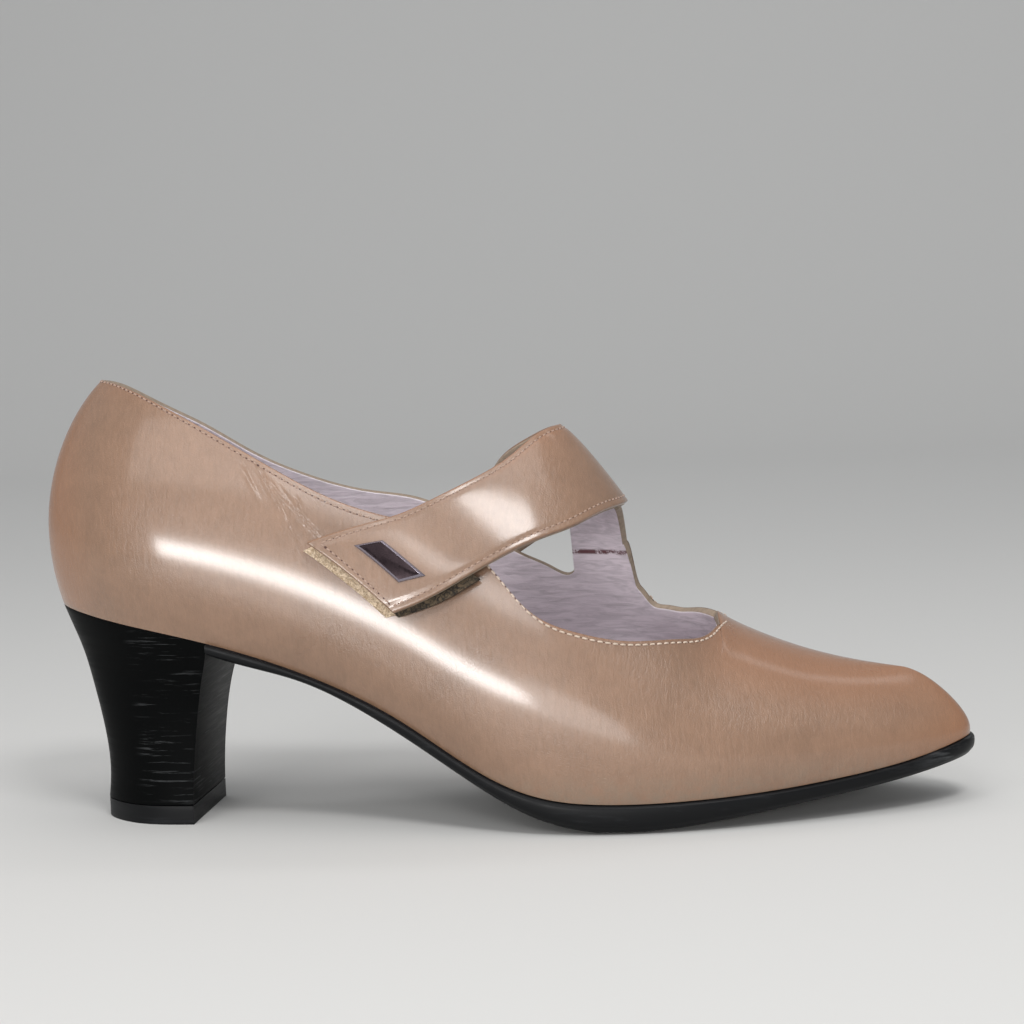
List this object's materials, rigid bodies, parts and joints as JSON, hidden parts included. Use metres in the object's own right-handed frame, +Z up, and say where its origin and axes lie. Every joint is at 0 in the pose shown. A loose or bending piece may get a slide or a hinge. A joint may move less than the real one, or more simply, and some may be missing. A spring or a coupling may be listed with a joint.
{
  "type": "mary jane pump",
  "caption": "Right mary jane pump with a block heel, an open throat and a hook-and-loop strap over the instep.",
  "frame": {"origin": "bottom centre of the shoe's box, on the floor it stands on", "axes": "+X from heel to toe, +Y to the medial side, +Z up"},
  "size_m": [0.249, 0.082, 0.12],
  "materials": {
    "taupe_leather": "smooth glossy taupe leather",
    "lining_leather": "lilac-grey lining leather",
    "black_rubber": "black moulded rubber, satin",
    "black_cover": "black covered block heel, satin gloss",
    "hook_fabric": "dark olive hook tape",
    "loop_fabric": "cream fuzzy loop tape",
    "gun_metal": "dark polished metal plate, bevelled"
  },
  "bodies": {
    "root": {"upper": "taupe_leather", "insole": "lining_leather", "outsole": "black_rubber", "heel": "black_cover", "top_piece": "black_rubber", "strap": "taupe_leather", "hook_patch": "hook_fabric", "loop_patch": "loop_fabric", "plate": "gun_metal"}
  },
  "joints": []
}
